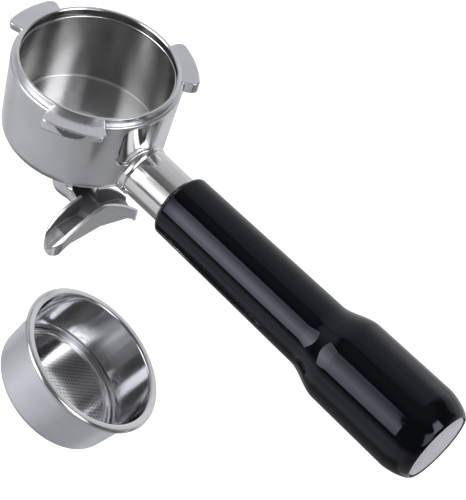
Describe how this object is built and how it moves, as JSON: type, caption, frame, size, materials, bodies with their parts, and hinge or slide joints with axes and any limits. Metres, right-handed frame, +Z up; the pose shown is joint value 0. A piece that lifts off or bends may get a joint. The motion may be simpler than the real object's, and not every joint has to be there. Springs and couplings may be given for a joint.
{
  "type": "espresso filter holder with loose basket",
  "caption": "Lugged metal filter holder with a twin open spout and a long black bulbous handle, and a loose round perforated coffee basket beside it.",
  "frame": {"origin": "centre of the bowl's top lip, where the lip meets the group head's gasket", "axes": "+Z up along the bowl's axis, +X out along the handle, +Y to the handle's left seen from the bowl"},
  "size_m": [0.2001, 0.0869, 0.1225],
  "materials": {
    "plated_casting": "satin plated, brushed inside the well",
    "spring_steel": "bright drawn wire",
    "seal_rubber": "matt",
    "spout_casting": "die-cast, lightly pitted",
    "bright_steel": "turned and zinc plated",
    "handle_black": "high gloss",
    "bush_metal": "turned",
    "carrier_plastic": "moulded",
    "end_metal": "satin with a bright bevel",
    "basket_steel": "mirror polished inside, matt outside",
    "screen_steel": "polished, finely perforated"
  },
  "bodies": {
    "filter_holder": {"holder": "plated_casting", "retaining_spring": "spring_steel", "outlet_seal": "seal_rubber", "spout": "spout_casting", "outlet_nipple": "bright_steel", "neck_gasket": "seal_rubber", "handle_shell": "handle_black", "handle_bush": "bush_metal", "tie_rod": "bright_steel", "tie_washer": "bright_steel", "tie_nut": "bright_steel", "end_carrier": "carrier_plastic", "end_disc": "end_metal"},
    "filter_basket": {"basket_shell": "basket_steel", "basket_screen": "screen_steel"}
  },
  "joints": [
    {"name": "basket_away", "type": "slide", "parent": "filter_holder", "child": "filter_basket", "axis": [0, -1, 0], "range_m": [0, 0.06]}
  ]
}
